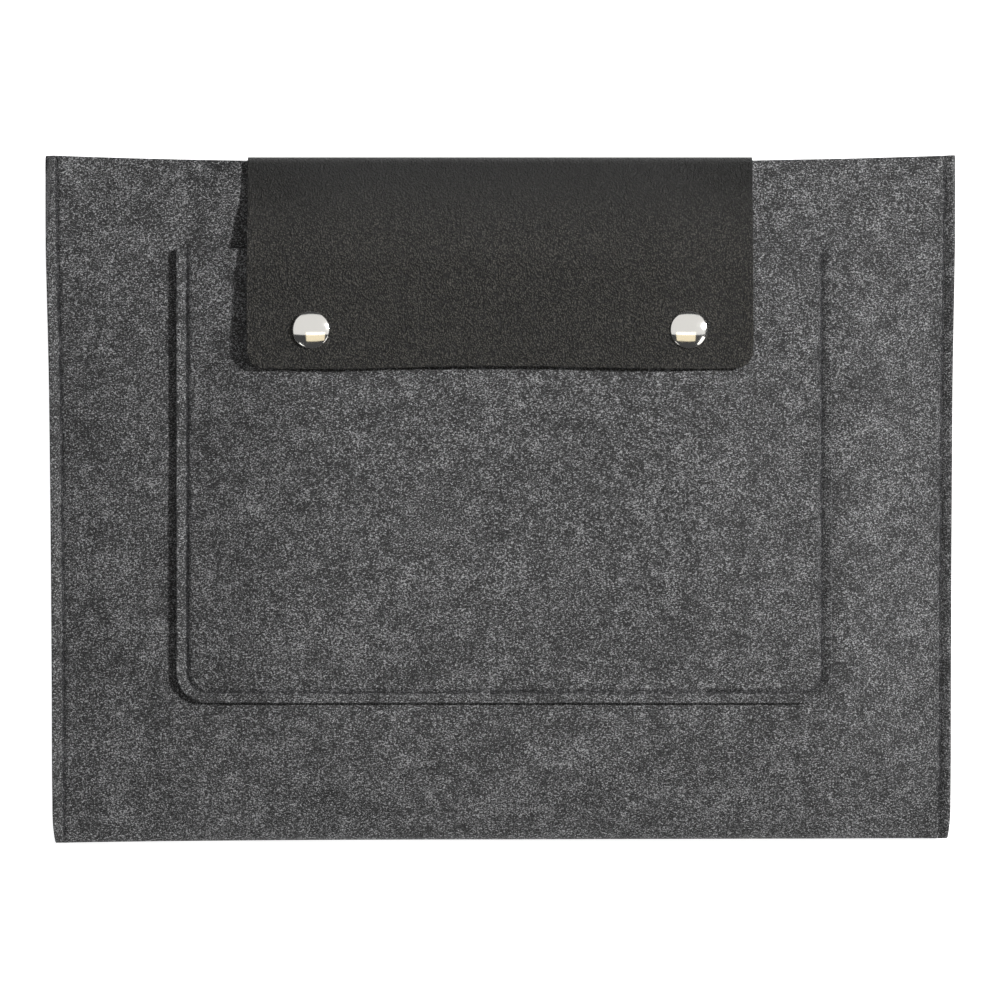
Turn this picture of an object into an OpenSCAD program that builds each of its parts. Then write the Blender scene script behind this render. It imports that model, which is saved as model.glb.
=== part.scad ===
// Felt laptop sleeve with a front patch pocket and a leather flap held by two snap fasteners.
// Millimetres. The sleeve lies on its back: +X across it, +Y towards its mouth, +Z up through its front.
// The origin is on the surface it lies on, under the middle of its outline.

/* [Sleeve] */
// Width across the side seams at the mouth
sleeve_w = 370; // [350:1:400]
// Height from the bottom fold to the corners of the mouth
sleeve_h = 280; // [265:1:300]
// Thickness from the back panel to the front panel
sleeve_t = 22; // [20:0.5:26]
// Thickness of the felt
felt_t = 2.5; // [2:0.1:3]
// Width of the flat part that holds the laptop
laptop_w = 314; // [300:1:318]
// Distance from the side edge to the seam at the mouth
seam_inset = 5.5; // [4:0.5:6]

/* [Pocket] */
// Width of the pocket panel
pocket_w = 265; // [240:0.5:280]
// Height of the pocket panel
pocket_h = 183.5; // [170:0.5:190]
// Drop from the mouth of the sleeve to the mouth of the pocket
pocket_drop = 38.5; // [36:0.5:42]
// Radius of the lower corners of the pocket
pocket_r = 12; // [10:1:20]
// Clear height inside the pocket
pocket_gap = 4.5; // [4.3:0.1:6]
// Distance from the edge of the pocket to its stitches
pocket_inset = 4; // [3:0.5:5]
// How far the pocket sits to the right of the middle
pocket_shift = 1.5; // [0:0.5:2]

/* [Flap] */
// Width of the flap
flap_w = 204; // [180:1:220]
// How far the flap reaches down the front
flap_drop = 86.5; // [84:0.5:92]
// How far the flap reaches down the back, where it is sewn on
tab_drop = 64; // [60:1:70]
// Thickness of the leather
leather_t = 1.3; // [1:0.1:1.5]
// Radius of the corners of the flap
flap_r = 7; // [5:1:14]

/* [Snaps] */
// Distance between the two snaps
snap_spacing = 152; // [140:1:160]
// Distance from the free edge of the flap to the snaps
snap_inset = 15; // [14:0.5:18]
// Diameter of the domed cap
cap_d = 15; // [14:0.5:15.5]

/* [Stitching] */
// Length of one stitch
stitch_len = 3; // [2.5:0.1:4]
// Diameter of the thread
thread_d = 0.6; // [0.4:0.05:0.6]

/* [Hidden] */
felt_grey = [0.33, 0.33, 0.34];
leather_black = [0.13, 0.125, 0.12];
thread_black = [0.1, 0.1, 0.11];
nickel = [0.86, 0.85, 0.82];
big = 500; // longer than the whole sleeve

// Heights. The leather under the back panel lifts the felt off the surface by its own thickness.
tab_z = thread_d / 2; // outer face of the leather on the back, clear of the surface by its stitches
lift = tab_z + leather_t;
front_z = sleeve_t; // outer face of the front panel
pocket_z = front_z + pocket_gap + felt_t; // outer face of the pocket panel
snap_gap = 4; // from the pocket panel to the underside of the closed flap
flap_z = pocket_z + snap_gap + leather_t / 2; // middle of the leather over the pocket
seam_z = sleeve_t / 2 - 2; // middle of the side seam

// Places along Y. The fold of the flap lies a little inside the corners of the mouth.
fold_in = 0.9;
y_bottom = -sleeve_h / 2;
y_corner = y_bottom + sleeve_h; // corners of the mouth
mouth_sag = 3.9; // the mouth's edge dips by this much in the middle
bottom_sag = 1.4; // and the bottom fold rises by this much
y_mouth = y_corner - mouth_sag;
y_spine = y_corner - fold_in - leather_t / 2; // middle of the leather across the mouth
y_pocket = y_corner - pocket_drop;
y_flap = y_corner - flap_drop;
y_tab = y_corner - tab_drop;
y_snap = y_flap + snap_inset;
seam_x = sleeve_w / 2 - seam_inset;

// The flap's two folds, one at each edge of the mouth. The leather hinges about a line inside each fold.
fold_r_back = 3;
fold_r_front = 3.5;
fold_z_back = tab_z + leather_t / 2 + fold_r_back;
fold_z_front = front_z - 2;
fold_gap = 12; // half the angle left open at each fold line
mouth_bevel = 1.8; // how far the leather presses in the felt's edges where it passes round them
flap_rise = 30; // length over which the flap climbs onto the pocket

// Points on a circle round c, in a plane
function arc(c, r, from, to, n = 12) =
    [for (i = [0:n]) let (a = from + (to - from) * i / n) c + r * [cos(a), sin(a)]];

// A flat outline in X and Z, drawn out along Y
module along_y(points) {
    rotate([90, 0, 0])
        linear_extrude(big, center = true)
            polygon(points);
}

// A flat outline in Y and Z, drawn out along X
module along_x(points, width = big) {
    rotate([90, 0, 90])
        linear_extrude(width, center = true)
            polygon(points);
}

// A rectangle between two heights, with two round corners at its lower edge
module round_ended(width, y_low, y_high, r) {
    translate([0, 0, -big / 2])
        linear_extrude(big)
            polygon(concat(
                [[-width / 2, y_high]],
                arc([-width / 2 + r, y_low + r], r, 180, 270),
                arc([width / 2 - r, y_low + r], r, 270, 360),
                [[width / 2, y_high]]
            ));
}

// ---- felt body ----

// Outline seen from the front: a dip in the mouth, a rise in the bottom fold and pinched lower corners
module body_outline() {
    half = sleeve_w / 2;
    low_half = half - 1.6;
    corner_half = half - 3.3;
    steps = 16;
    function bow(u) = 1 - pow(u, 2);
    translate([0, 0, -1])
        linear_extrude(sleeve_t + 2)
            polygon(concat(
                [for (i = [-steps:steps]) let (u = i / steps)
                    [u * half, y_corner - mouth_sag * bow(u)]],
                [[low_half, y_bottom + 40], [low_half - 0.6, y_bottom + 8]],
                [for (i = [-steps:steps]) let (u = -i / steps)
                    [u * corner_half, y_bottom + bottom_sag * bow(u)]],
                [[0.6 - low_half, y_bottom + 8], [-low_half, y_bottom + 40]]
            ));
}

// The sleeve's section across its width, shrunk by t on every side
function section_across(t) = let (
    flat = laptop_w / 2 + 0.4 * t,
    foot = flat - 8,
    tip = seam_x - 1.5,
    z_low = t,
    z_high = sleeve_t - t
) t > 0
    ? [[-foot, z_low], [foot, z_low], [tip, seam_z], [flat, z_high], [-flat, z_high], [-tip, seam_z]]
    : [[-foot, z_low], [foot, z_low], [tip, seam_z - felt_t], [big, seam_z - felt_t],
       [big, seam_z + felt_t], [tip, seam_z + felt_t], [flat, z_high], [-flat, z_high],
       [-tip, seam_z + felt_t], [-big, seam_z + felt_t], [-big, seam_z - felt_t],
       [-tip, seam_z - felt_t]];

// The sleeve's section along its height: a round bottom fold, and a step up over the leather
function section_along(t) = let (
    nose_r = 5.5,
    nose = [y_bottom + nose_r, nose_r + 1.5]
) concat(
    arc(nose, nose_r - t, 100, 265),
    [[y_bottom + 15, t], [y_tab - 8, t], [y_tab - 1, t + lift], [big, t + lift],
     [big, sleeve_t - t], [y_bottom + 34, sleeve_t - t]]
);

// What the leather presses off the felt's two edges at the mouth
module mouth_bevels() {
    y_edge = y_spine - leather_t / 2 - 0.7;
    for (edge = [[lift, 1], [front_z, -1]])
        along_x([[y_edge - mouth_bevel, edge[0]], [y_edge + mouth_bevel, edge[0] + 2 * edge[1] * mouth_bevel],
                 [y_edge + mouth_bevel, edge[0] - edge[1]], [y_edge - mouth_bevel, edge[0] - edge[1]]],
                flap_w + 2);
}

module felt_body() {
    color(felt_grey)
        difference() {
            intersection() {
                along_y(section_across(0));
                along_x(section_along(0));
                body_outline();
            }
            intersection() {
                along_y(section_across(felt_t));
                along_x(section_along(felt_t));
            }
            mouth_bevels();
        }
}

// ---- pocket panel ----

pocket_slope = 38; // width of the slope from the stitched edge to the raised middle
pocket_hem = 10; // width of the edge that lies flat on the front panel

module pocket_rise(z_low, z_high) {
    half = pocket_w / 2 - pocket_hem;
    y_hem = y_pocket - pocket_h + pocket_hem;
    intersection() {
        along_y([[-big, -1], [big, -1], [big, z_low], [half, z_low], [half - pocket_slope, z_high],
                 [pocket_slope - half, z_high], [-half, z_low], [-big, z_low]]);
        along_x([[-big, -1], [big, -1], [big, z_high], [y_hem + pocket_slope, z_high],
                 [y_hem, z_low], [-big, z_low]]);
    }
}

module pocket_panel() {
    color(felt_grey)
        difference() {
            translate([pocket_shift, 0, 0])
                difference() {
                    intersection() {
                        pocket_rise(front_z + felt_t, pocket_z);
                        round_ended(pocket_w, y_pocket - pocket_h, y_pocket, pocket_r);
                    }
                    pocket_rise(front_z, front_z + pocket_gap);
                }
            at_snaps() {
                translate([0, 0, -felt_t - 1])
                    cylinder(r = post_r, h = felt_t + 2, $fn = 48);
                translate([0, 0, -stud_sink])
                    cylinder(r = stud_flange_r, h = 1, $fn = 48);
                translate([0, 0, -felt_t - 1])
                    cylinder(r = post_flange_r, h = 1 + post_flange_t, $fn = 48);
            }
        }
}

// ---- flap ----

// The middle line of the leather over the front, from the end of the front fold to the free edge
flap_climb = atan((flap_z - fold_z_front - fold_r_front) / flap_rise);
front_fold_end = 90 - flap_climb;
fold_back_c = [y_spine - fold_r_back, fold_z_back];
fold_front_c = [y_spine - fold_r_front, fold_z_front];
front_fold_exit = fold_front_c + fold_r_front * [cos(front_fold_end), sin(front_fold_end)];
level_y = front_fold_exit[0] - (flap_z - front_fold_exit[1]) / tan(flap_climb);

// Both faces of a strip of leather round an arc, outer face first
function strip(outer, inner) = concat(outer, [for (i = [len(inner) - 1:-1:0]) inner[i]]);
function fold_faces(c, r, from, to) = [arc(c, r + leather_t / 2, from, to), arc(c, r - leather_t / 2, from, to)];

module flap_back() {
    faces = fold_faces(fold_back_c, fold_r_back, -90, -45 - fold_gap);
    color(leather_black)
        intersection() {
            along_x(strip(concat([[y_tab, tab_z]], faces[0]),
                          concat([[y_tab, tab_z + leather_t]], faces[1])), flap_w);
            round_ended(flap_w, y_tab, big, flap_r);
        }
}

module flap_spine() {
    low = fold_faces(fold_back_c, fold_r_back, -45 + fold_gap, 0);
    high = fold_faces(fold_front_c, fold_r_front, 0, front_fold_end / 2 - fold_gap);
    color(leather_black)
        along_x(strip(concat(low[0], high[0]), concat(low[1], high[1])), flap_w);
}

module flap_front() {
    faces = fold_faces(fold_front_c, fold_r_front, front_fold_end / 2 + fold_gap, front_fold_end);
    bend = leather_t / 2 * tan(flap_climb / 2);
    color(leather_black)
        difference() {
            intersection() {
                along_x(strip(
                    concat(faces[0], [[level_y - bend, flap_z + leather_t / 2], [y_flap, flap_z + leather_t / 2]]),
                    concat(faces[1], [[level_y + bend, flap_z - leather_t / 2], [y_flap, flap_z - leather_t / 2]])
                ), flap_w);
                round_ended(flap_w, y_flap, big, flap_r);
            }
            at_snaps()
                cylinder(r = barrel_r, h = big, $fn = 48);
        }
}

// ---- snap fasteners ----
// Each is drawn with its axis on Z and the outer face of the pocket panel at height 0.

post_r = 1.75; // barrel of the post
post_bore_r = 1.35;
post_flange_r = 4.9;
post_flange_t = 0.5;
stud_flange_r = 5.75;
stud_sink = 0.3; // how deep the stud's flange presses into the felt
stud_top = 2.6;
socket_r = 6.2;
socket_bore_r = 3.7;
socket_low = 0.65;
barrel_r = 1.7; // barrel of the cap
barrel_bore_r = 1.3;
barrel_flare_r = 2.6;
plate_t = 0.45; // top plate of the socket
wire_d = 0.5; // spring wire
wire_x = 3.1; // from the snap's axis to each arm of the spring
wire_z = 1.5;
cap_rise = 2; // height of the cap above the leather
cap_wall = 0.4;

module at_snap(side) {
    translate([side * snap_spacing / 2, y_snap, pocket_z])
        children();
}

module at_snaps() {
    for (side = [-1, 1])
        at_snap(side)
            children();
}

module turned(points) {
    color(nickel)
        rotate_extrude($fn = 64)
            polygon(points);
}

module snap_stud(side) {
    at_snap(side)
        turned([[post_r, -stud_sink], [stud_flange_r, -stud_sink], [stud_flange_r, 0.1], [5.4, 0.35],
                [3.2, 0.35], [2.45, 0.6], [2.3, 1.1], [2.3, 1.5], [2.6, 1.85], [2.65, 2.15],
                [2.4, 2.5], [2.15, stud_top], [post_r, stud_top]]);
}

module snap_post(side) {
    at_snap(side)
        turned([[post_bore_r, -felt_t], [post_flange_r, -felt_t], [post_flange_r, -felt_t + post_flange_t],
                [post_r, -felt_t + post_flange_t], [post_r, stud_top], [2.1, stud_top],
                [2.1, stud_top + 0.2], [post_r, stud_top + 0.35], [post_bore_r, stud_top + 0.35]]);
}

// One hairpin of wire: two arms and the bend that joins them
module hairpin(d) {
    arm_y = 2;
    for (x = [-wire_x, wire_x])
        translate([x, 0, wire_z])
            rotate([90, 0, 0])
                cylinder(d = d, h = 2 * arm_y, center = true, $fn = 32);
    translate([0, arm_y, wire_z])
        rotate_extrude(angle = 180, $fn = 64)
            translate([wire_x, 0])
                circle(d = d, $fn = 32);
}

module snap_socket(side) {
    at_snap(side)
        difference() {
            turned([[3.4, socket_low], [4.2, socket_low], [6, 1.1], [socket_r, 1.5], [socket_r, snap_gap - 0.3],
                    [socket_r - 0.3, snap_gap], [barrel_r, snap_gap], [barrel_r, snap_gap - plate_t],
                    [socket_bore_r, snap_gap - plate_t], [socket_bore_r, 1.1], [3.4, 0.95]]);
            hairpin(wire_d + 0.2);
        }
}

module snap_spring(side) {
    color(nickel)
        at_snap(side)
            hairpin(wire_d);
}

module snap_cap(side) {
    z_leather = snap_gap + leather_t;
    rim_z = 0.45;
    dome_r = (pow(cap_d / 2, 2) + pow(cap_rise - rim_z, 2)) / (2 * (cap_rise - rim_z));
    rim_a = acos((dome_r - cap_rise + rim_z) / dome_r);
    in_r = dome_r - cap_wall;
    in_a = asin((cap_d / 2 - cap_wall) / in_r);
    stub_r = 2.2;
    stub_a = asin(stub_r / in_r);
    c = [0, z_leather + cap_rise - dome_r];
    at_snap(side)
        turned(concat(
            arc(c, dome_r, 90, 90 - rim_a),
            [[cap_d / 2, z_leather + 0.2], [cap_d / 2 - 0.3, z_leather], [cap_d / 2 - 1.2, z_leather],
             [cap_d / 2 - 1.2, z_leather + 0.3]],
            arc(c, in_r, 90 - in_a, 90 - stub_a),
            [[stub_r, z_leather], [barrel_r, z_leather], [barrel_r, snap_gap - plate_t],
             [barrel_flare_r, snap_gap - plate_t], [barrel_flare_r, snap_gap - plate_t - 0.15],
             [barrel_r + 0.2, snap_gap - plate_t - 0.3], [barrel_bore_r, snap_gap - plate_t - 0.3],
             [barrel_bore_r, z_leather], [0, z_leather]]
        ));
}

// ---- stitching ----

// One stitch, lying along +Y and half sunk into the surface at height 0
module stitch() {
    rotate([90, 0, 0])
        cylinder(d = thread_d, h = stitch_len - thread_d, center = true, $fn = 24);
}

// Stitches spread evenly along a route of the given length; place(s) is [x, y, heading]
module stitches(length, z, place) {
    count = floor(length / stitch_len);
    pitch = length / count;
    color(thread_black)
        for (i = [0:count - 1]) {
            p = place((i + 0.5) * pitch);
            translate([p[0], p[1], z])
                rotate([0, 0, p[2]])
                    stitch();
        }
}

seam_start = y_bottom + 4;
seam_len = y_corner - 2 - seam_start;

module seam_thread(side, z) {
    stitches(seam_len, z, function(s) [side * seam_x, seam_start + s, 0]);
}

// A point on three sides of a rounded rectangle, from its upper left end round to its upper right end
function round_three_sides(s, w, y_low, y_high, r) = let (
    leg = y_high - y_low - r,
    quarter = PI * r / 2,
    base = w - 2 * r,
    back = 2 * (leg + quarter) + base - s,
    a = 90 * (s - leg) / quarter
) s > leg + quarter + base / 2
    ? let (p = round_three_sides(back, w, y_low, y_high, r)) [-p[0], p[1], -p[2]]
    : s < leg ? [-w / 2, y_high - s, 0]
    : s < leg + quarter ? [-w / 2 + r - r * cos(a), y_low + r - r * sin(a), a]
    : [-base / 2 + s - leg - quarter, y_low, 90];

function three_sides_len(w, y_low, y_high, r) = 2 * (y_high - y_low - r) + PI * r + w - 2 * r;

pocket_path = [pocket_w - 2 * pocket_inset, y_pocket - pocket_h + pocket_inset, y_pocket - 1,
               pocket_r - pocket_inset];

module pocket_thread(z) {
    translate([pocket_shift, 0, 0])
        stitches(three_sides_len(pocket_path[0], pocket_path[1], pocket_path[2], pocket_path[3]), z,
                 function(s) round_three_sides(s, pocket_path[0], pocket_path[1], pocket_path[2], pocket_path[3]));
}

flap_inset = 4;
top_row_y = y_spine - fold_r_back - 3;
flap_path = [flap_w - 2 * flap_inset, y_tab + flap_inset, top_row_y, flap_r - flap_inset];

module flap_thread(z) {
    stitches(three_sides_len(flap_path[0], flap_path[1], flap_path[2], flap_path[3]), z,
             function(s) round_three_sides(s, flap_path[0], flap_path[1], flap_path[2], flap_path[3]));
    stitches(flap_path[0] - 2 * stitch_len, z,
             function(s) [s - flap_path[0] / 2 + stitch_len, top_row_y, 90]);
}

felt_body();
pocket_panel();
flap_back();
flap_spine();
flap_front();
seam_thread(-1, seam_z + felt_t);  // seam_needle_thread_left
seam_thread(1, seam_z + felt_t);  // seam_needle_thread_right
seam_thread(-1, seam_z - felt_t);  // seam_bobbin_thread_left
seam_thread(1, seam_z - felt_t);  // seam_bobbin_thread_right
pocket_thread(front_z + felt_t);  // pocket_needle_thread
pocket_thread(front_z - felt_t);  // pocket_bobbin_thread
flap_thread(tab_z);  // flap_needle_thread
flap_thread(lift + felt_t);  // flap_bobbin_thread
snap_cap(-1);  // snap_cap_left
snap_cap(1);  // snap_cap_right
snap_socket(-1);  // snap_socket_left
snap_socket(1);  // snap_socket_right
snap_spring(-1);  // snap_spring_left
snap_spring(1);  // snap_spring_right
snap_stud(-1);  // snap_stud_left
snap_stud(1);  // snap_stud_right
snap_post(-1);  // snap_post_left
snap_post(1);  // snap_post_right
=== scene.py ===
"""A felt laptop sleeve with a patch pocket and a leather flap on two snap fasteners.

Lengths are in metres. The CAD frame gives the places: x across, y towards the mouth, z out of the front.
"""

import math

import bmesh
import bpy
import numpy as np
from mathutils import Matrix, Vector


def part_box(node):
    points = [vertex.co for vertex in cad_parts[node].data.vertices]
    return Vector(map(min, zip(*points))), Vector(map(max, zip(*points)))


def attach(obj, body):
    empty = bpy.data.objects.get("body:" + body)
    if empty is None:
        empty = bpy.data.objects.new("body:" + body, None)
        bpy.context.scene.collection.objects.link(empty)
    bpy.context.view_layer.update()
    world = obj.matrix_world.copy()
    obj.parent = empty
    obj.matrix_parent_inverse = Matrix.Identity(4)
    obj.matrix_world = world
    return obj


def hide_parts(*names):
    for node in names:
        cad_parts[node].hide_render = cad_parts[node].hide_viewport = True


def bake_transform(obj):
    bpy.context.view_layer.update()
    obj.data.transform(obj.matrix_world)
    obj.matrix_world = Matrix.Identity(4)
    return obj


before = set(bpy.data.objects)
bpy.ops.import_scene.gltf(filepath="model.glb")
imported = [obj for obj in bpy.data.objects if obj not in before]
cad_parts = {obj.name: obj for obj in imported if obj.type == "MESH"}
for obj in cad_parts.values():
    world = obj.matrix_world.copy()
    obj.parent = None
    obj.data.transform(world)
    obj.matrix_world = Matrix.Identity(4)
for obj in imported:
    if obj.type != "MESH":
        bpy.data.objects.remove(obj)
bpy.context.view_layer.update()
MM = 0.001
TURN = 2 * math.pi

# ---------------------------------------------------------------- places from the frame



def corners(node):
    """The low and the high corner of a CAD node's box."""
    return (np.array(corner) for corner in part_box(node))


BODY_LOW, BODY_HIGH = corners("felt_body")
POCKET_LOW, POCKET_HIGH = corners("pocket_panel")
TAB_LOW, _ = corners("flap_back")
SPINE_LOW, SPINE_HIGH = corners("flap_spine")
FLAP_LOW, FLAP_HIGH = corners("flap_front")
SEAM_LOW, _ = corners("seam_needle_thread_right")
_, SEAM_HIGH = corners("seam_bobbin_thread_right")


def snap_centre(side):
    low, high = corners(f"snap_cap_{side}")
    return (low + high) / 2


SNAPS = {side: snap_centre(side) for side in ("left", "right")}

FELT = 2.5 * MM
LEATHER = 1.3 * MM
STITCH = 3.0 * MM
THREAD = 0.55 * MM
FRONT_Z = BODY_HIGH[2]
BOTTOM_Y = BODY_LOW[1]
CORNER_Y = BODY_HIGH[1]
HALF_W = BODY_HIGH[0]
SEAM_Z = (SEAM_LOW[2] + SEAM_HIGH[2]) / 2
FOLD_Y = (SPINE_LOW[1] + SPINE_HIGH[1]) / 2  # middle of the leather across the mouth
LIFT = TAB_LOW[2] + LEATHER  # the felt's back face where the leather lies under it

# ---------------------------------------------------------------- small maths


def smooth(t):
    """0 below 0, 1 above 1, and a smooth step between."""
    t = np.clip(t, 0, 1)
    return t * t * (3 - 2 * t)


def bump(d, width):
    """1 at no distance, falling off to both sides."""
    return np.exp(-((d / width) ** 2))


def ease(t, knee):
    """A ramp with a gentle start: 0 below 0, a parabola up to the knee, then a line up to 1 at 1."""
    t = np.clip(t, 0, 1)
    slope = 1 / (1 - knee / 2)
    return np.where(t < knee, slope * t * t / (2 * knee), slope * (t - knee / 2))


def waves(x, y, seed, scale, count=9):
    """A smooth random surface of about unit height, with lumps of about the given size."""
    rng = np.random.default_rng(seed)
    total = np.zeros(np.broadcast(x, y).shape)
    for _ in range(count):
        angle = rng.uniform(0, TURN)
        length = scale * rng.uniform(0.7, 1.6)
        phase = rng.uniform(0, TURN)
        total += np.sin(TURN * (x * math.cos(angle) + y * math.sin(angle)) / length + phase)
    return total / math.sqrt(count / 2)


def steps(*stops):
    """Places from the first stop to the last; each stop is (place, spacing from there on)."""
    out = []
    for (start, gap), (end, _) in zip(stops[:-1], stops[1:]):
        count = max(1, round((end - start) / gap))
        out.append(np.linspace(start, end, count, endpoint=False))
    out.append(np.array([stops[-1][0]]))
    return np.concatenate(out)


# ---------------------------------------------------------------- meshes


def link(name, vertices, faces, material):
    """A smooth-shaded object of one mesh, with its faces turned outwards."""
    mesh = bpy.data.meshes.new(name)
    mesh.from_pydata(np.asarray(vertices).tolist(), [], faces)
    solid = bmesh.new()
    solid.from_mesh(mesh)
    bmesh.ops.recalc_face_normals(solid, faces=solid.faces)
    solid.to_mesh(mesh)
    solid.free()
    mesh.materials.append(material)
    mesh.polygons.foreach_set("use_smooth", [True] * len(mesh.polygons))
    mesh.validate()
    piece = bpy.data.objects.new(name, mesh)
    bpy.context.scene.collection.objects.link(piece)
    return piece


def rim_of(rows, cols):
    """The grid's border, once round, as (row, column)."""
    low = [(0, c) for c in range(cols)]
    right = [(r, cols - 1) for r in range(1, rows)]
    high = [(rows - 1, c) for c in range(cols - 2, -1, -1)]
    left = [(r, 0) for r in range(rows - 2, 0, -1)]
    return low + right + high + left


def unit(vectors):
    return vectors / np.maximum(np.linalg.norm(vectors, axis=1, keepdims=True), 1e-9)


def edge_rings(outer, inner, border, bulge):
    """Rings of points from the outer face's border to the inner one's, rounded out by bulge."""
    rows, cols = outer.shape[:2]
    inward = np.array([outer[min(max(r, 1), rows - 2), min(max(c, 1), cols - 2)] for r, c in border])
    top = np.array([outer[r, c] for r, c in border])
    low = np.array([inner[r, c] for r, c in border])
    through = unit(top - low)
    out = top - inward
    out = unit(out - (out * through).sum(1, keepdims=True) * through)
    shares = (0.12, 0.5, 0.88)
    return [top * (1 - t) + low * t + out * bulge * math.sqrt(4 * t * (1 - t)) for t in shares]


def thick_sheet(name, outer, inner, material, inner_material=None, bulge=0.0):
    """A closed sheet between two grids of points, its cut edge rounded out by bulge."""
    rows, cols = outer.shape[:2]
    count = rows * cols
    corner = [(r * cols + c) for r in range(rows - 1) for c in range(cols - 1)]
    faces = [(i, i + 1, i + cols + 1, i + cols) for i in corner]
    top_faces = len(faces)
    faces += [tuple(count + i for i in reversed(f)) for f in faces]
    border = rim_of(rows, cols)
    rings = edge_rings(outer, inner, border, bulge)
    n = len(border)
    loops = [[r * cols + c for r, c in border]]
    loops += [list(range(2 * count + k * n, 2 * count + (k + 1) * n)) for k in range(len(rings))]
    loops.append([count + i for i in loops[0]])
    for first, second in zip(loops[:-1], loops[1:]):
        for i in range(n):
            j = (i + 1) % n
            faces.append((first[j], first[i], second[i], second[j]))
    vertices = [outer.reshape(-1, 3), inner.reshape(-1, 3), *rings]
    piece = link(name, np.concatenate(vertices), faces, material)
    if inner_material is not None:
        piece.data.materials.append(inner_material)
        index = np.zeros(len(piece.data.polygons), np.int32)
        index[top_faces : 2 * top_faces] = 1
        piece.data.polygons.foreach_set("material_index", index)
    return piece


def lathe(name, profile, centre, material, segments=128):
    """A closed turned piece: profile is (radius, height) from its middle on top to that underneath."""
    angles = np.linspace(0, TURN, segments, endpoint=False)
    rings = [p for p in profile if p[0] > 1e-9]
    vertices = [np.array([[0, 0, profile[0][1]], [0, 0, profile[-1][1]]])]
    for radius, height in rings:
        ring = np.stack([radius * np.cos(angles), radius * np.sin(angles), np.full(segments, height)], 1)
        vertices.append(ring)
    last = len(rings) - 1

    def at(ring, i):
        return 2 + ring * segments + i % segments

    faces = [(0, at(0, i), at(0, i + 1)) for i in range(segments)]
    for r in range(last):
        faces += [(at(r, i + 1), at(r, i), at(r + 1, i), at(r + 1, i + 1)) for i in range(segments)]
    faces += [(1, at(last, i + 1), at(last, i)) for i in range(segments)]
    return link(name, np.concatenate(vertices) + np.asarray(centre), faces, material)


# ---------------------------------------------------------------- materials


class Nodes:
    """A material's node tree, with short calls to add and join nodes."""

    def __init__(self, name):
        self.material = bpy.data.materials.new(name)
        self.material.use_nodes = True
        self.tree = self.material.node_tree
        self.shader = self.tree.nodes["Principled BSDF"]

    def add(self, kind, inputs=(), **settings):
        node = self.tree.nodes.new(kind)
        for key, value in settings.items():
            setattr(node, key, value)
        for key, value in dict(inputs).items():
            self.put(node.inputs[key], value)
        return node

    def put(self, socket, value):
        if hasattr(value, "is_output"):
            self.tree.links.new(value, socket)
        else:
            socket.default_value = value

    def maths(self, operation, a, b=0.0, clamp=False):
        node = self.add("ShaderNodeMath", {0: a, 1: b}, operation=operation, use_clamp=clamp)
        return node.outputs[0]

    def ramp(self, factor, *stops):
        node = self.add("ShaderNodeValToRGB", {0: factor})
        elements = node.color_ramp.elements
        while len(elements) < len(stops):
            elements.new(0.5)
        for element, (place, colour) in zip(elements, stops):
            element.position = place
            element.color = (*colour, 1) if hasattr(colour, "__len__") else (colour, colour, colour, 1)
        return node.outputs[0]

    def place(self):
        return self.add("ShaderNodeTexCoord").outputs["Object"]

    def turned(self, vector, turn=(0, 0, 0), scale=(1, 1, 1)):
        inputs = {"Vector": vector, "Rotation": turn, "Scale": scale}
        return self.add("ShaderNodeMapping", inputs).outputs[0]

    def noise(self, vector, scale, detail=2.0, roughness=0.5, distortion=0.0):
        inputs = {"Vector": vector, "Scale": scale, "Detail": detail, "Roughness": roughness,
                  "Distortion": distortion}
        return self.add("ShaderNodeTexNoise", inputs).outputs[0]

    def warped(self, vector, scale, amount):
        """The place moved about by a noise of the given scale."""
        node = self.add("ShaderNodeTexNoise", {"Vector": vector, "Scale": scale, "Detail": 2.0})
        centred = self.add("ShaderNodeVectorMath", {0: node.outputs["Color"], 1: (0.5, 0.5, 0.5)},
                           operation="SUBTRACT").outputs[0]
        moved = self.add("ShaderNodeVectorMath", {0: centred, "Scale": amount},
                         operation="SCALE").outputs[0]
        return self.add("ShaderNodeVectorMath", {0: vector, 1: moved}, operation="ADD").outputs[0]

    def bump(self, height, distance, strength=1.0, normal=None):
        inputs = {"Height": height, "Distance": distance, "Strength": strength}
        if normal is not None:
            inputs["Normal"] = normal
        return self.add("ShaderNodeBump", inputs).outputs[0]

    def set(self, **values):
        for key, value in values.items():
            self.put(self.shader.inputs[key.replace("_", " ")], value)
        return self.material


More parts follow.
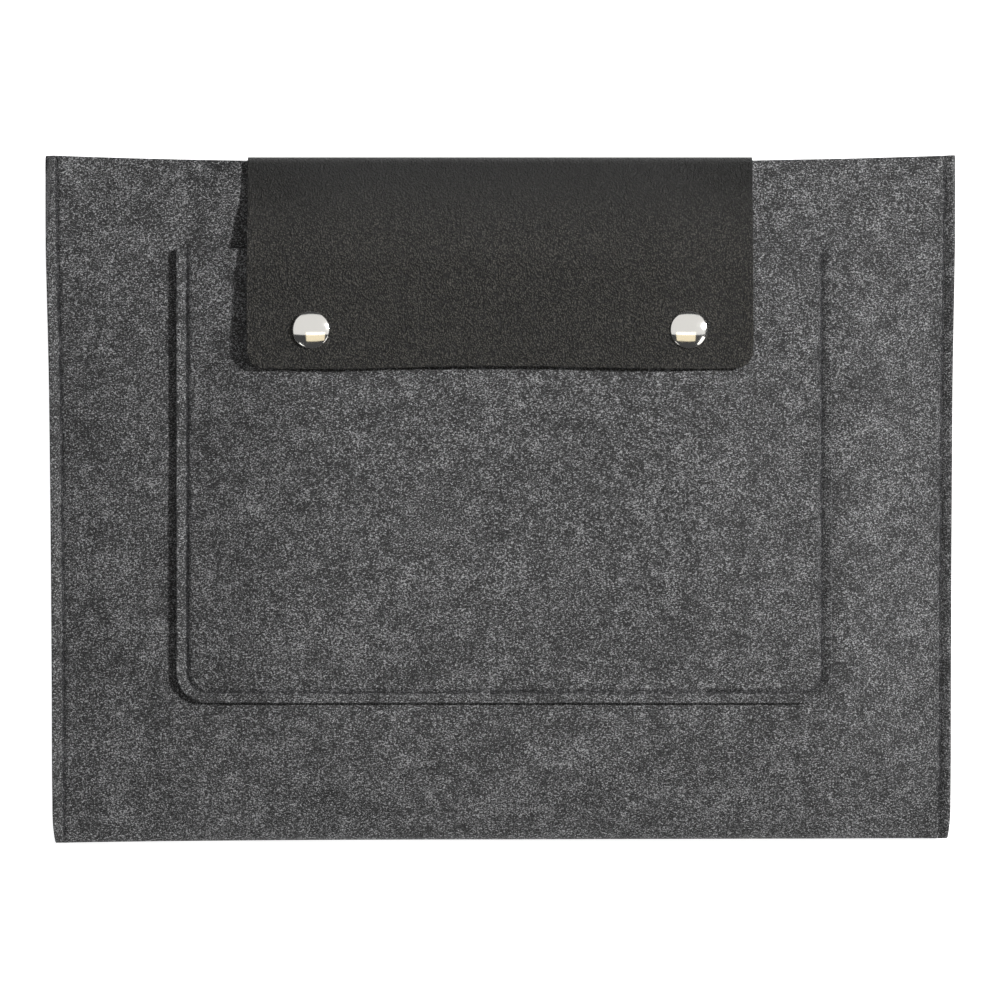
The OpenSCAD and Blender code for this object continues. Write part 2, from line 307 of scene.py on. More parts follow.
def felt_material():
    """Pressed grey felt: short light fibres in every direction on a dark ground, with soft blotches."""
    n = Nodes("felt")
    here = n.place()
    bent = n.warped(here, 260, 0.0016)
    strands = None
    for turn, seed in ((0.1, 0.0), (1.2, 3.7), (2.2, 9.1)):
        along = n.turned(bent, (seed, seed * 0.3, turn), (950, 3100, 3100))
        strand = n.noise(along, 1.0, 1.0)
        strands = strand if strands is None else n.maths("MAXIMUM", strands, strand)
    grain = n.noise(here, 1500, 3.0, 0.8)
    blotch = n.noise(here, 180, 3.0, 0.6)
    cloud = n.noise(here, 55, 2.0)
    tone = n.maths("MULTIPLY", n.maths("SUBTRACT", grain, 0.5), 3.5)
    for layer, middle, weight in ((strands, 0.59, 2.7), (blotch, 0.5, 0.65), (cloud, 0.5, 0.3)):
        tone = n.maths("ADD", tone, n.maths("MULTIPLY", n.maths("SUBTRACT", layer, middle), weight))
    tone = n.maths("ADD", tone, 0.5, clamp=True)
    colour = n.ramp(tone, (0.0, (0.001, 0.001, 0.001)), (0.25, (0.0065, 0.0065, 0.007)),
                    (0.5, (0.03, 0.03, 0.0312)), (0.75, (0.1, 0.1, 0.1025)), (1.0, (0.42, 0.42, 0.424)))
    height = n.maths("ADD", strands, n.maths("MULTIPLY", grain, 0.8))
    soft = n.bump(n.noise(here, 260, 2.0), 0.0003, 0.4)
    return n.set(Base_Color=colour, Roughness=0.5, Specular_IOR_Level=0.42, Sheen_Weight=0.05,
                 Sheen_Roughness=0.4, Normal=n.bump(height, 0.0004, 1.0, soft))


def leather_material():
    """Black artificial leather with a fine pebbled grain in wavy streaks; towards the fold its colour turns
    plain and darker, which is painted shade.
    """
    n = Nodes("leather")
    here = n.place()
    bent = n.warped(here, 160, 0.003)
    along = n.turned(bent, (0.0, 0.0, -0.3), (1500, 1200, 1300))
    cells = n.add("ShaderNodeTexVoronoi", {"Vector": along, "Scale": 1.0, "Smoothness": 0.3},
                  feature="SMOOTH_F1").outputs["Distance"]
    pores = n.noise(here, 2300, 2.0, 0.7)
    streak = n.noise(n.turned(bent, (0, 0, -0.3), (700, 330, 300)), 1.0, 2.0)
    height = n.maths("ADD", n.maths("MULTIPLY", cells, -1.0), n.maths("MULTIPLY", pores, 0.8))
    height = n.maths("ADD", height, n.maths("MULTIPLY", streak, 0.4))
    tone = n.maths("ADD", n.maths("MULTIPLY", cells, 0.75), n.maths("MULTIPLY", streak, 0.25),
                   clamp=True)
    grainy = n.ramp(tone, (0.25, (0.088, 0.082, 0.07)), (0.42, (0.024, 0.0222, 0.0188)),
                    (0.6, (0.002, 0.0018, 0.0015)))
    # Painted shade: from 32 mm to 4 mm short of the fold the grain's colour gives way to a plain darker
    # tone.
    across = n.add("ShaderNodeSeparateXYZ", {0: here}).outputs["Y"]
    fold_shade_span = {"Value": across, "From Min": FOLD_Y - 32 * MM, "From Max": FOLD_Y - 4 * MM}
    fold_shade = n.add("ShaderNodeMapRange", fold_shade_span).outputs[0]
    factor, grainy_side, painted_shade_side, mixed = 0, 6, 7, 2  # the Mix node's sockets for colours
    colour = n.add("ShaderNodeMix", {factor: fold_shade, grainy_side: grainy,
                                     painted_shade_side: (0.007, 0.0068, 0.0062, 1)}, data_type="RGBA")
    rough = n.ramp(tone, (0.25, 0.36), (0.6, 0.6))
    return n.set(Base_Color=colour.outputs[mixed], Roughness=rough, Specular_IOR_Level=0.5,
                 Normal=n.bump(height, 0.0006, 1.0))


def backing_material():
    """The woven cloth on the back of the artificial leather."""
    n = Nodes("leather_backing")
    here = n.place()
    yarn = {"Vector": here, "Scale": 330.0, "Distortion": 0.6, "Detail": 2.0}
    warp, weft = (n.add("ShaderNodeTexWave", yarn, bands_direction=way).outputs["Fac"] for way in "XY")
    weave = n.maths("MULTIPLY", warp, weft)
    fuzz = n.noise(here, 900, 3.0)
    tone = n.maths("ADD", n.maths("MULTIPLY", weave, 0.6), n.maths("MULTIPLY", fuzz, 0.4))
    colour = n.ramp(tone, (0.1, (0.018, 0.018, 0.018)), (0.9, (0.075, 0.073, 0.07)))
    return n.set(Base_Color=colour, Roughness=0.85, Specular_IOR_Level=0.2,
                 Normal=n.bump(tone, 0.0002, 0.7))


def thread_material():
    """Dark twisted thread."""
    n = Nodes("thread")
    here = n.place()
    twist = {"Vector": n.turned(here, (0, 0, 0.8)), "Scale": 700.0, "Distortion": 1.0}
    ply = n.add("ShaderNodeTexWave", twist, bands_direction="DIAGONAL").outputs["Fac"]
    colour = n.ramp(ply, (0.2, (0.012, 0.012, 0.014)), (0.9, (0.05, 0.05, 0.054)))
    return n.set(Base_Color=colour, Roughness=0.6, Specular_IOR_Level=0.3,
                 Normal=n.bump(ply, 0.0001, 0.6))


def metal_material(name, colour, low, high):
    """Nickel plate with a faint haze of rubbing; low and high are its least and most roughness."""
    n = Nodes(name)
    here = n.place()
    haze = n.noise(here, 500, 4.0, 0.7)
    scratches = n.noise(n.turned(here, (0, 0, 0.7), (300, 9000, 300)), 1.0, 2.0)
    rough = n.ramp(haze, (0.3, low), (0.75, high))
    return n.set(Base_Color=(*colour, 1), Metallic=1.0, Roughness=rough,
                 Normal=n.bump(scratches, 0.000004, 0.5))


felt = felt_material()
leather = leather_material()
backing = backing_material()
thread = thread_material()
cap_metal = metal_material("polished_nickel", (0.84, 0.82, 0.775), 0.05, 0.13)
snap_metal = metal_material("nickel_plate", (0.72, 0.7, 0.66), 0.2, 0.36)

# ---------------------------------------------------------------- shape of the sleeve

MOUTH_DIP = 3.9 * MM  # the mouth's middle lies this far below its corners
BOTTOM_RISE = 1.4 * MM  # and the bottom's middle this far above the left corner
LEFT_TAPER, RIGHT_TAPER = 2.85 * MM, 1.7 * MM  # each side comes in this far from the mouth to the bottom
PINCH = 1.0 * MM  # and the lower corners this far more
SEAM_IN = 4.3 * MM  # from the side edge to the seam
SEAM_SQUEEZE = 1.7 * MM  # half the thickness of both layers at the seam
EDGE_HALF = 2.55 * MM  # and at the raw edge
SEAM_RISE, MOUTH_SEAM_DIP, BOTTOM_SEAM_DIP = 5.0 * MM, 2.0 * MM, 2.5 * MM
LEFT_SHOULDER, RIGHT_SHOULDER = 78 * MM, 136 * MM  # where the front starts to fall to each side seam
BACK_SHOULDER = 140 * MM  # and where the back starts to rise to it
MOUTH_SAG = 3.4 * MM  # how far the front sinks on both sides of the flap
BOTTOM_DROOP = 14 * MM  # how far it comes down to the bottom fold
BOTTOM_NOSE = 3.5 * MM  # how far the back comes up to it
UNEVEN = 0.14 * MM  # height of the front's soft lumps
LEFT_ROLL, RIGHT_ROLL = 3.7 * MM, 1.0 * MM  # width of the rolled edge at the mouth's corners
ROLL_SLOPE = 1.8  # over 1.5 the front crosses the back at the mouth's left corner, here by 1 mm
FOLD_OUT, FOLD_IN = 5.6 * MM, 3.2 * MM  # how deep the round of the bottom fold is, outside and inside


def edge_x(side, y):
    """Half width on one side (side under 0 for the left): it narrows from the mouth down."""
    up = (y - BOTTOM_Y) / (CORNER_Y - BOTTOM_Y)
    return HALF_W - np.where(side < 0, LEFT_TAPER, RIGHT_TAPER) * (1 - up**2)


def past_seam(x, y):
    """How far a place lies outside the side seam."""
    return np.abs(x) - edge_x(x, y) + SEAM_IN


def outline_x(across, y):
    """Place across the sleeve for a share -1 to 1 of its width; the lower corners are pinched in."""
    pinch = PINCH * (1 - np.clip((y - BOTTOM_Y) / (12 * MM), 0, 1)) ** 2
    return across * (edge_x(across, y) - pinch)


def mouth_y(x):
    return CORNER_Y - MOUTH_DIP * (1 - np.clip(np.abs(x) / HALF_W, 0, 1) ** 2)


def bottom_y(x):
    u = np.clip(x / HALF_W, -1, 1)
    return BOTTOM_Y + BOTTOM_RISE * (1 - np.minimum(u, 0) ** 2) + 0.5 * MM * np.maximum(u, 0)


def seam_level(y):
    """Height of the side seams: they ride up towards the mouth and dip at all four corners."""
    dip = np.clip((y - 110 * MM) / (30 * MM), 0, 1) ** 1.5
    low = np.clip((35 * MM - y + BOTTOM_Y) / (35 * MM), 0, 1) ** 1.3
    ride = SEAM_RISE * smooth((y - 40 * MM) / (70 * MM))
    return SEAM_Z + ride - MOUTH_SEAM_DIP * dip - BOTTOM_SEAM_DIP * low


def front_level(x, y):
    """Outer face of the front panel, without the round bottom fold."""
    a = np.abs(x)
    near_mouth = smooth((y - 70 * MM) / (60 * MM))
    shoulder = np.where(x < 0, LEFT_SHOULDER + 6 * MM * near_mouth, RIGHT_SHOULDER - 20 * MM * near_mouth)
    foot = seam_level(y) + SEAM_SQUEEZE
    out = a - shoulder
    fall = ease(out / (out - past_seam(x, y)), 0.3)
    level = FRONT_Z + (foot - FRONT_Z) * fall
    level = level - MOUTH_SAG * (1 - fall) * near_mouth * smooth((a - 100 * MM) / (50 * MM))
    up = y - bottom_y(x)
    aside = smooth(fall / 0.5)
    droop = np.clip(1 - up / ((58 - 26 * aside) * MM), 0, 1) ** (2 - 0.8 * aside)
    level = level - BOTTOM_DROOP * droop * (1 - 0.93 * fall**1.3)
    calm = 1 - smooth((a - 150 * MM) / (25 * MM))
    return level - UNEVEN * (1 + waves(x, y, 3, 60 * MM)) * (0.4 + 0.6 * calm)


def back_level(x, y):
    """Outer face of the back panel: flat on the table, then up to the side seams."""
    foot = seam_level(y) - SEAM_SQUEEZE
    out = np.abs(x) - BACK_SHOULDER
    rise = ease(out / (out - past_seam(x, y)), 0.5)
    lift = LIFT * smooth((y - (TAB_LOW[1] - 9 * MM)) / (8 * MM))
    up = y - bottom_y(x)
    nose = BOTTOM_NOSE * np.clip(1 - up / (20 * MM), 0, 1) ** 2 * (1 - rise)
    return lift + (foot - lift) * rise + nose


def stitch_dent(distance, along):
    """Depth of the dent that a row of stitches pulls into felt: a groove with one deep place per stitch."""
    hole = 0.5 - 0.5 * np.cos(TURN * along / STITCH)
    groove = 0.4 * MM * bump(distance, 1.2 * MM)
    return groove + 0.75 * MM * bump(distance, 0.5 * MM) * (0.55 + 0.45 * hole)


def seam_shape(x, y, side):
    """What the seam does to a face (side 1 for the front): a groove, then an edge that flares out. By the
    mouth the front's edge rolls down, more on the left."""
    past = past_seam(x, y)
    wander = 0.1 * MM * waves(0 * x, y, 5, 14 * MM)
    flare = smooth(past / SEAM_IN) * (EDGE_HALF - SEAM_SQUEEZE + 0.25 * MM)
    roll = np.where(x < 0, LEFT_ROLL, RIGHT_ROLL) * np.clip((y - 103 * MM) / (36 * MM), 0, 1)
    turned_down = ROLL_SLOPE * np.maximum(past - SEAM_IN + roll, 0) * (side > 0)
    return flare - stitch_dent(past + wander, y) - turned_down


def body_section(x, y, inside):
    """Height of the middle between front and back, and half the way between their outer or inner faces."""
    front = front_level(x, y) + seam_shape(x, y, 1)
    back = back_level(x, y) - seam_shape(x, y, -1)
    middle = (front + back) / 2
    half = (front - back) / 2
    if inside:
        half = np.maximum(half - FELT, 0.03 * MM)
    return middle, half


def build_body():
    """One strip of felt: the front panel, round the bottom fold, and the back panel."""
    seam = HALF_W - SEAM_IN
    across = steps((0, 5 * MM), (0.55 * HALF_W, 4 * MM), (seam - 4 * MM, 0.45 * MM),
                   (seam + 1.6 * MM, 0.65 * MM), (HALF_W, 1)) / HALF_W
    across = np.concatenate([-across[:0:-1], across])
    length = CORNER_Y - BOTTOM_Y
    up = steps((0, 0.12 * MM), (0.36 * MM, 0.5 * MM), (3.36 * MM, 0.8 * MM), (11.36 * MM, 1.2 * MM),
               (length, 1))
    share = up / length
    sheets = []
    for inside in (False, True):
        rows = []
        for sign, order in ((1, share[::-1]), (-1, share[1:])):
            t = order[:, None]
            base_y = BOTTOM_Y + t * length
            x = outline_x(across[None, :], base_y)
            low, high = bottom_y(x), mouth_y(x)
            if inside:
                low = low + FELT
            y = low + (high - low) * t
            middle, half = body_section(x, y, inside)
            nose = np.minimum(FOLD_IN if inside else FOLD_OUT, np.maximum(half, 0.1 * MM))
            turn = np.clip((y - low) / nose, 0, 1)
            z = middle + sign * half * np.sqrt(np.maximum(1 - (1 - turn) ** 2, 0))
            rows.append(np.stack(np.broadcast_arrays(x, y, z), -1))
        sheets.append(np.concatenate(rows))
    outer, inner = sheets
    return thick_sheet("sleeve_felt", outer, inner, felt, bulge=0.3 * MM)


body = build_body()
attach(body, "sleeve")
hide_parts("felt_body")

# ---------------------------------------------------------------- pocket

POCKET_R = 12 * MM
POCKET_X = (POCKET_LOW[0] + POCKET_HIGH[0]) / 2
POCKET_HALF = (POCKET_HIGH[0] - POCKET_LOW[0]) / 2
POCKET_INSET = 4 * MM
POCKET_RISE = POCKET_HIGH[2] - FRONT_Z - FELT
POCKET_FLARE = 0.6 * MM  # how much further the raw edge stands up at the sides than at the bottom


def pocket_depth(x, y):
    """Distance in from the pocket's three sewn sides."""
    dx = POCKET_HALF - np.abs(x - POCKET_X)
    dy = y - POCKET_LOW[1]
    by_corner = POCKET_R - np.hypot(np.minimum(dx - POCKET_R, 0), np.minimum(dy - POCKET_R, 0))
    return np.where((dx < POCKET_R) & (dy < POCKET_R), by_corner, np.minimum(dx, dy))


def pocket_base(x, y):
    """Inner face of the pocket: it lies on the front panel at its sewn edge and bows out in the middle."""
    depth = pocket_depth(x, y)
    side = POCKET_HALF - np.abs(x - POCKET_X)
    bow = smooth((side - 4 * MM) / (52 * MM)) * smooth((y - POCKET_LOW[1] - 4 * MM) / (46 * MM))
    lip = 0.5 * MM * smooth((depth - POCKET_INSET) / (2.4 * MM))
    at_side = smooth((y - POCKET_LOW[1] - side + 4 * MM) / (8 * MM))
    past = np.clip((POCKET_INSET - 0.5 * MM - depth) / (3.4 * MM), 0, 1)
    flare = (0.35 * MM + POCKET_FLARE * at_side) * past
    return front_level(x, y) + 0.1 * MM + POCKET_RISE * bow + lip * (1 - bow) + flare


def pocket_face(x, y):
    """Outer face of the pocket, pressed in along its stitches."""
    wander = 0.1 * MM * waves(x, y, 6, 12 * MM)
    return pocket_base(x, y) + FELT - stitch_dent(pocket_depth(x, y) - POCKET_INSET + wander, x + y)


def rounded_corners(x, y, half, low, radius):
    """Moves grid points near a rectangle's two lower corners onto quarter discs. x is from its middle."""
    side = np.sign(x)
    dx = np.abs(x) - (half - radius)
    dy = (low + radius) - y
    near = (dx > 0) & (dy > 0)
    u = np.where(near, dx / radius, 0)
    v = np.where(near, dy / radius, 0)
    new_x = side * (half - radius + radius * u * np.sqrt(1 - v * v / 2))
    new_y = low + radius - radius * v * np.sqrt(1 - u * u / 2)
    return np.where(near, new_x, x), np.where(near, new_y, y)


def build_pocket():
    fine, coarse = 0.45 * MM, 4 * MM
    x = steps((-POCKET_HALF, fine), (-POCKET_HALF + 7 * MM, 1.2 * MM), (-POCKET_HALF + 14 * MM, coarse),
              (POCKET_HALF - 14 * MM, 1.2 * MM), (POCKET_HALF - 7 * MM, fine), (POCKET_HALF, 1))
    y = steps((POCKET_LOW[1], fine), (POCKET_LOW[1] + 7 * MM, 1.0 * MM), (POCKET_HIGH[1], 1))
    x, y = np.meshgrid(x, y)
    x, y = rounded_corners(x, y, POCKET_HALF, POCKET_LOW[1], POCKET_R)
    x = x + POCKET_X
    outer = np.stack([x, y, pocket_face(x, y)], -1)
    inner = np.stack([x, y, pocket_base(x, y)], -1)
    return thick_sheet("pocket_felt", outer, inner, felt, bulge=0.25 * MM)


pocket = build_pocket()
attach(pocket, "sleeve")
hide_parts("pocket_panel")

# ---------------------------------------------------------------- flap

FLAP_HALF = FLAP_HIGH[0]
FLAP_R = 7 * MM
SPINE_Z = (SPINE_LOW[2] + SPINE_HIGH[2]) / 2
FOLD_BACK = 3.0 * MM
FOLD_FRONT = 3.5 * MM
FLAP_TOP = FLAP_HIGH[2] - LEATHER / 2  # middle of the leather at the snaps
FRONT_CLIMB = 19  # degrees that the flap climbs at from its fold towards the snaps
FLAP_REACH = 42 * MM  # how far down it stops climbing
SIDE_HANG = 3.4 * MM  # how much lower its sides lie


def arc_points(centre, radius, start, end, count):
    angles = np.radians(np.linspace(start, end, count))
    return np.stack([centre[0] + radius * np.cos(angles), centre[1] + radius * np.sin(angles)], 1)


def back_line():
    """Middle line (y, z) of the leather on the back and round the lower fold, half way over the mouth."""
    z = TAB_LOW[2] + LEATHER / 2
    flat = steps((TAB_LOW[1], 0.5 * MM), (TAB_LOW[1] + 7 * MM, 1.2 * MM), (FOLD_Y - FOLD_BACK, 1))
    flat = np.stack([flat, np.full(len(flat), z)], 1)
    fold = arc_points((FOLD_Y - FOLD_BACK, z + FOLD_BACK), FOLD_BACK, -90, 0, 17)
    rise = np.linspace(z + FOLD_BACK, SPINE_Z, 9)[1:]
    rise = np.stack([np.full(len(rise), FOLD_Y), rise], 1)
    return np.concatenate([flat, fold[1:], rise])


def front_line():
    """Middle line (y, z) from half way over the mouth, round the upper fold and down to the free edge."""
    centre = (FOLD_Y - FOLD_FRONT, FRONT_Z - 2 * MM)
    rise = np.linspace(SPINE_Z, centre[1], 9)[:-1]
    rise = np.stack([np.full(len(rise), FOLD_Y), rise], 1)
    fold = arc_points(centre, FOLD_FRONT, 0, 90 - FRONT_CLIMB, 15)
    start = fold[-1]
    end_y = FLAP_LOW[1]
    y = -steps((-start[0], 1.0 * MM), (-end_y - 7 * MM, 0.5 * MM), (-end_y, 1))[1:]
    run = start[0] - y
    over = start[0] - SNAPS["left"][1]
    t = np.clip(run / FLAP_REACH, 0, 1)
    height = start[1] + (FLAP_TOP - start[1]) * (1 - (1 - t) ** 1.3)
    droop = 0.9 * MM * np.clip((run - over) / (15 * MM), 0, 1) ** 2
    front = np.stack([y, height - droop], 1)
    return np.concatenate([rise, fold, front])


def strip_grid(line, half, low_y, radius):
    """A grid of places and of directions out of the leather, for a line (y, z) carried across in x."""
    x = steps((-half, 0.5 * MM), (-half + radius, 4 * MM), (half - radius, 0.5 * MM), (half, 1))
    tangent = np.gradient(line, axis=0)
    tangent /= np.linalg.norm(tangent, axis=1, keepdims=True)
    out = np.stack([tangent[:, 1], -tangent[:, 0]], 1)
    grid_x, grid_y = np.meshgrid(x, line[:, 0])
    new_x, new_y = rounded_corners(grid_x, grid_y, half, low_y, radius)
    z = line[:, 1][:, None] + 0 * grid_x
    flat = np.abs(tangent[:, 0]) > 0.3
    slope = np.where(flat, tangent[:, 1] / np.where(flat, tangent[:, 0], 1), 0)
    z = z + slope[:, None] * (new_y - grid_y)
    middle = np.stack([new_x, new_y, z], -1)
    normal = np.stack([0 * grid_x, out[:, :1] + 0 * grid_x, out[:, 1:] + 0 * grid_x], -1)
    return middle, normal


def side_droop(points):
    """The flap's sides hang lower than its middle, which the snaps hold up, and its free edge waves."""
    out = points.copy()
    x, y = points[..., 0], points[..., 1]
    run = FOLD_Y - y
    low = SIDE_HANG * smooth(run / (18 * MM)) - 1.2 * MM * smooth((run - 40 * MM) / (35 * MM))
    out[..., 2] -= low * smooth((np.abs(x) - 64 * MM) / (38 * MM))
    ripple = waves(x, y, 8, 75 * MM) * 0.12 * MM
    out[..., 2] += ripple * smooth(run / (40 * MM)) * smooth((y - FLAP_LOW[1]) / (30 * MM))
    out[..., 1] += 0.55 * MM * np.cos(math.pi * x / SNAPS["right"][0]) * smooth(run / (80 * MM))
    return out


def build_flap(name, line, low_y, front):
    middle, normal = strip_grid(line, FLAP_HALF, low_y, FLAP_R)
    if front:
        middle = side_droop(middle)
    outer = middle + normal * LEATHER / 2
    inner = middle - normal * LEATHER / 2
    return thick_sheet(name, outer, inner, leather, backing, bulge=0.18 * MM)


front_leather = front_line()
back_leather = back_line()
flap_front = build_flap("flap_leather_front", front_leather, FLAP_LOW[1], True)
flap_back = build_flap("flap_leather_back", back_leather, TAB_LOW[1], False)


for piece, nodes, line in ((flap_back, ["flap_back"], back_leather),
                           (flap_front, ["flap_front", "flap_spine"], front_leather)):
    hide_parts(*nodes)
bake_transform(flap_back)
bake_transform(flap_front)

# ---------------------------------------------------------------- stitches


def route_points(places, pitch):
    """Stitch centres spread evenly along a route of (x, y) places, and the way each one runs."""
    places = np.asarray(places, float)
    gaps = np.linalg.norm(np.diff(places, axis=0), axis=1)
    along = np.concatenate([[0], np.cumsum(gaps)])
    count = int(along[-1] / pitch)
    at = (np.arange(count) + 0.5) * along[-1] / count
    reach = 0.4 * pitch
    before = np.stack([np.interp(at - reach, along, places[:, k]) for k in range(2)], 1)
    after = np.stack([np.interp(at + reach, along, places[:, k]) for k in range(2)], 1)
    heading = after - before
    heading /= np.linalg.norm(heading, axis=1, keepdims=True)
    centres = np.stack([np.interp(at, along, places[:, k]) for k in range(2)], 1)
    return centres, heading


def three_sides(half, low, high, radius, middle=0.0):
    """Down one side, round a lower corner, along the bottom and up the other side."""
    angles = np.linspace(0, math.pi / 2, 9)
    left = np.stack([-half + radius - radius * np.cos(angles), low + radius - radius * np.sin(angles)], 1)
    right = left[::-1] * (-1, 1)
    places = np.concatenate([[(-half, high)], left, right, [(half, high)]])
    return places + (middle, 0)


def tube_faces(start, rings, sides):
    """Faces of a closed tube whose points start at the given number, ring by ring."""
    def at(ring, i):
        return start + ring * sides + i % sides

    faces = []
    for r in range(rings - 1):
        faces += [(at(r, i), at(r, i + 1), at(r + 1, i + 1), at(r + 1, i)) for i in range(sides)]
    return faces + [tuple(at(r, i) for i in range(sides)) for r in (0, rings - 1)]


def stitch_row(name, routes, surface, out, node, arch=0.16 * MM):
    """Stitches on a surface z(x, y) that faces up (out 1) or down (out -1). Each bows a little out of the
    surface and dips into it at both ends."""
    sides, rings = 7, 9
    turn = np.linspace(0, TURN, sides, endpoint=False)
    along = np.linspace(-1, 1, rings)
    fat = THREAD / 2 * np.sqrt(np.clip(1.04 - along**6, 0.04, 1))
    lift = arch - (arch + 0.55 * THREAD) * along**4
    vertices, faces, start = [], [], 0
    rng = np.random.default_rng(len(name))
    for places in routes:
        centres, heading = route_points(places, STITCH)
        for (x, y), (hx, hy) in zip(centres, heading):
            half = STITCH * rng.uniform(0.41, 0.45)
            sway = rng.uniform(-0.05, 0.05) * MM
            cx = x + hx * half * along - hy * sway * along
            cy = y + hy * half * along + hx * sway * along
            cz = surface(cx, cy) + out * lift
            ring = np.zeros((rings, sides, 3))
            ring[..., 0] = cx[:, None] - hy * fat[:, None] * np.cos(turn)
            ring[..., 1] = cy[:, None] + hx * fat[:, None] * np.cos(turn)
            ring[..., 2] = cz[:, None] + fat[:, None] * np.sin(turn)
            vertices.append(ring.reshape(-1, 3))
            faces += tube_faces(start, rings, sides)
            start += rings * sides
    piece = link(name, np.concatenate(vertices), faces, thread)
    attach(piece, "sleeve")
    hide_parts(node)
    return piece


def body_front(x, y):
    middle, half = body_section(x, y, False)
    return middle + half


def body_back(x, y):
    middle, half = body_section(x, y, False)
    return middle - half


for side, sign in (("left", -1), ("right", 1)):
    up = np.linspace(BOTTOM_Y + 4 * MM, CORNER_Y - 2 * MM, 30)
    seam = [np.stack([sign * (edge_x(sign, up) - SEAM_IN), up], 1)]
    stitch_row(f"seam_stitches_{side}", seam, body_front, 1, f"seam_needle_thread_{side}")
    stitch_row(f"seam_back_stitches_{side}", seam, body_back, -1, f"seam_bobbin_thread_{side}")

pocket_route = [three_sides(POCKET_HALF - POCKET_INSET, POCKET_LOW[1] + POCKET_INSET,
                            POCKET_HIGH[1] - 1 * MM, POCKET_R - POCKET_INSET, POCKET_X)]
stitch_row("pocket_stitches", pocket_route, pocket_face, 1, "pocket_needle_thread")
stitch_row("pocket_inner_stitches", pocket_route, lambda x, y: front_level(x, y) - FELT, -1,
           "pocket_bobbin_thread")

TAB_INSET = 4 * MM
TAB_ROW_Y = FOLD_Y - FOLD_BACK - 3 * MM
tab_route = [three_sides(FLAP_HALF - TAB_INSET, TAB_LOW[1] + TAB_INSET, TAB_ROW_Y, FLAP_R - TAB_INSET),
             [(STITCH - FLAP_HALF + TAB_INSET, TAB_ROW_Y), (FLAP_HALF - TAB_INSET - STITCH, TAB_ROW_Y)]]
stitch_row("flap_stitches", tab_route, lambda x, y: TAB_LOW[2] + 0 * x, -1, "flap_needle_thread", 0.0)
stitch_row("flap_inner_stitches", tab_route, lambda x, y: back_level(x, y) + FELT, 1,
           "flap_bobbin_thread")

# ---------------------------------------------------------------- snaps

CAP_R = 7.5 * MM
CAP_RISE = 2.0 * MM
CAP_RIM = 0.5 * MM


def cap_profile():
    """(radius, height above the leather): the dome, its rolled rim, the flat under it and the rivet."""
    rise = CAP_RISE - CAP_RIM
    dome_r = (CAP_R**2 + rise**2) / (2 * rise)
    lean = np.linspace(0, math.asin((CAP_R - 0.12 * MM) / dome_r), 28)
    dome = np.stack([dome_r * np.sin(lean), CAP_RISE - dome_r * (1 - np.cos(lean))], 1)
    roll = arc_points((CAP_R - 0.3 * MM, 0.3 * MM), 0.3 * MM, 40, -90, 9)
    rivet = np.array([(1.7, 0.0), (1.7, -1.7), (2.45, -1.72), (2.6, -1.8), (2.55, -1.93), (2.3, -1.98),
                      (1.9, -2.02), (1.45, -1.95), (1.3, -1.7), (1.3, -0.1), (0.0, -0.05)]) * MM
    return np.concatenate([dome, roll, rivet]).tolist()


LEATHER_TOP = FLAP_HIGH[2]
for side, centre in SNAPS.items():
    cap = lathe(f"snap_dome_{side}", cap_profile(), (centre[0], centre[1], LEATHER_TOP), cap_metal)
    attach(cap, "flap")
    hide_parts(f"snap_cap_{side}")

for name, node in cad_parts.items():
    if name.startswith("snap_"):
        for place in node.material_slots:
            place.material = snap_metal

# ---------------------------------------------------------------- floor, light and camera


def floor():
    half = 3.0
    square = [(-half, -half, 0), (half, -half, 0), (half, half, 0), (-half, half, 0)]
    n = Nodes("floor")
    n.set(Base_Color=(0.6, 0.6, 0.6, 1), Roughness=0.9, Specular_IOR_Level=0.0,
          Emission_Color=(1, 1, 1, 1), Emission_Strength=0.93)
    plane = link("floor", np.array(square) + (0, 0, -0.3 * MM), [(0, 1, 2, 3)], n.material)


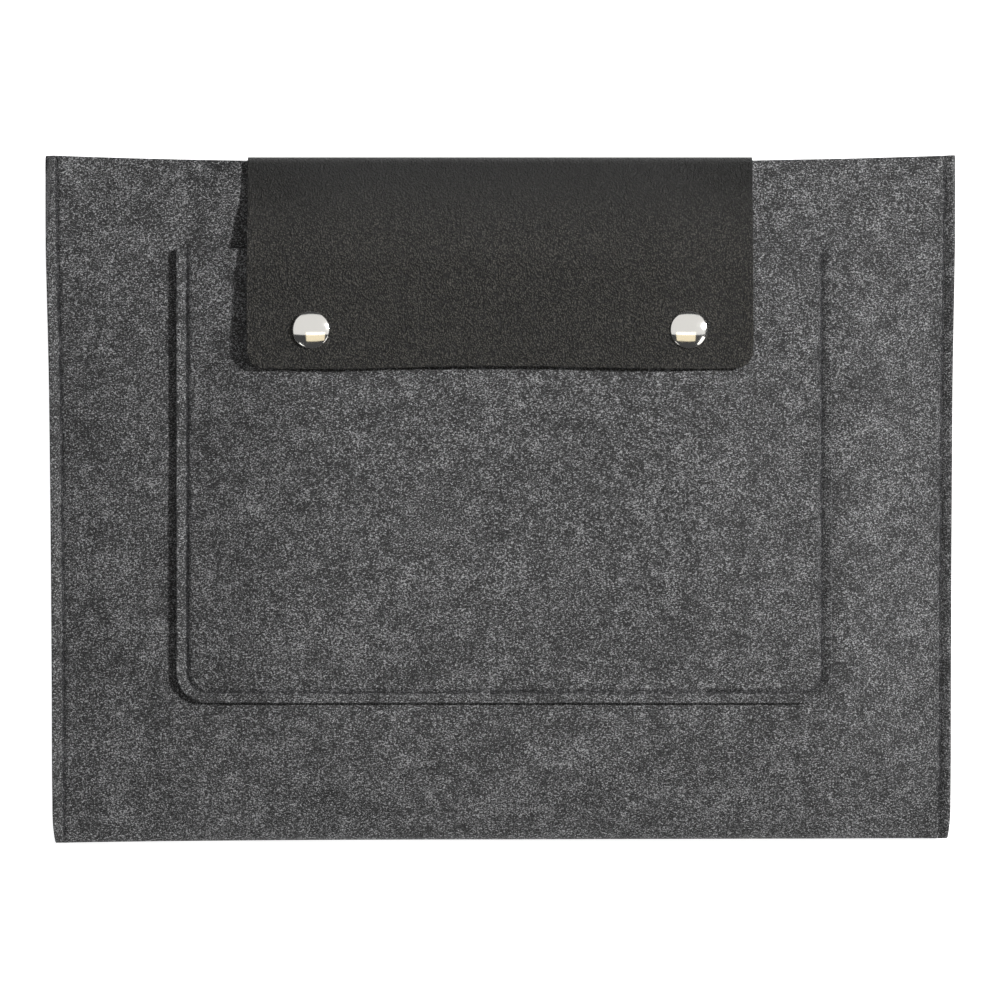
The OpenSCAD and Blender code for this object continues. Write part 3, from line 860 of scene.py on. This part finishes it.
def area_light(name, place, target, size, power, colour=(1, 1, 1), lights="both"):
    """A rectangular lamp. lights is both, diffuse (seen in no reflection) or glossy (only there)."""
    data = bpy.data.lights.new(name, "AREA")
    data.shape = "RECTANGLE"
    data.size, data.size_y = size
    data.energy = power
    data.color = colour
    lamp = bpy.data.objects.new(name, data)
    bpy.context.scene.collection.objects.link(lamp)
    lamp.location = place
    aim = np.array(target, float) - np.array(place, float)
    lamp.rotation_euler = Vector(aim).to_track_quat("-Z", "Y").to_euler()
    lamp.visible_camera = False
    lamp.visible_diffuse = lights != "glossy"
    lamp.visible_glossy = lights != "diffuse"


def lights():
    """A small key lamp from the right, a weak fill, and panels that are seen only as reflections."""
    world = bpy.data.worlds.new("studio")
    bpy.context.scene.world = world
    world.use_nodes = True
    background = world.node_tree.nodes["Background"]
    background.inputs["Color"].default_value = (0.78, 0.8, 0.84, 1)
    background.inputs["Strength"].default_value = 0.08
    area_light("key", (1.909, 0.62, 2.229), (0, 0, 0), (0.3, 0.3), 98)
    area_light("fill", (-0.5, 0.2, 1.5), (0, 0, 0), (1.6, 1.2), 3.6, lights="diffuse")
    area_light("softbox", (-0.15, 0.47, 1.3), (-0.15, 0.47, 0), (2.7, 1.3), 8.5, lights="glossy")
    area_light("card", (0.02, -0.08, 0.55), (0.02, -0.08, 0), (0.46, 0.22), 0.3, (1, 0.88, 0.62),
               lights="glossy")
    area_light("corner_left", (-0.75, -0.85, 1.05), (0, 0, 0), (0.35, 0.35), 0.7, lights="glossy")
    area_light("corner_right", (0.95, -0.6, 1.1), (0, 0, 0), (0.6, 0.45), 1.6, lights="glossy")


def camera():
    """Straight down; the picture is view_width across at the height of the side seams."""
    distance = 2.0
    view_width = 0.4075
    data = bpy.data.cameras.new("camera")
    data.sensor_width = 36
    data.lens = data.sensor_width * distance / view_width
    data.clip_end = 20
    eye = bpy.data.objects.new("camera", data)
    bpy.context.scene.collection.objects.link(eye)
    eye.location = (0, 0, distance + SEAM_Z)
    bpy.context.scene.camera = eye


floor()
lights()
camera()
bpy.context.scene.view_settings.view_transform = "Standard"
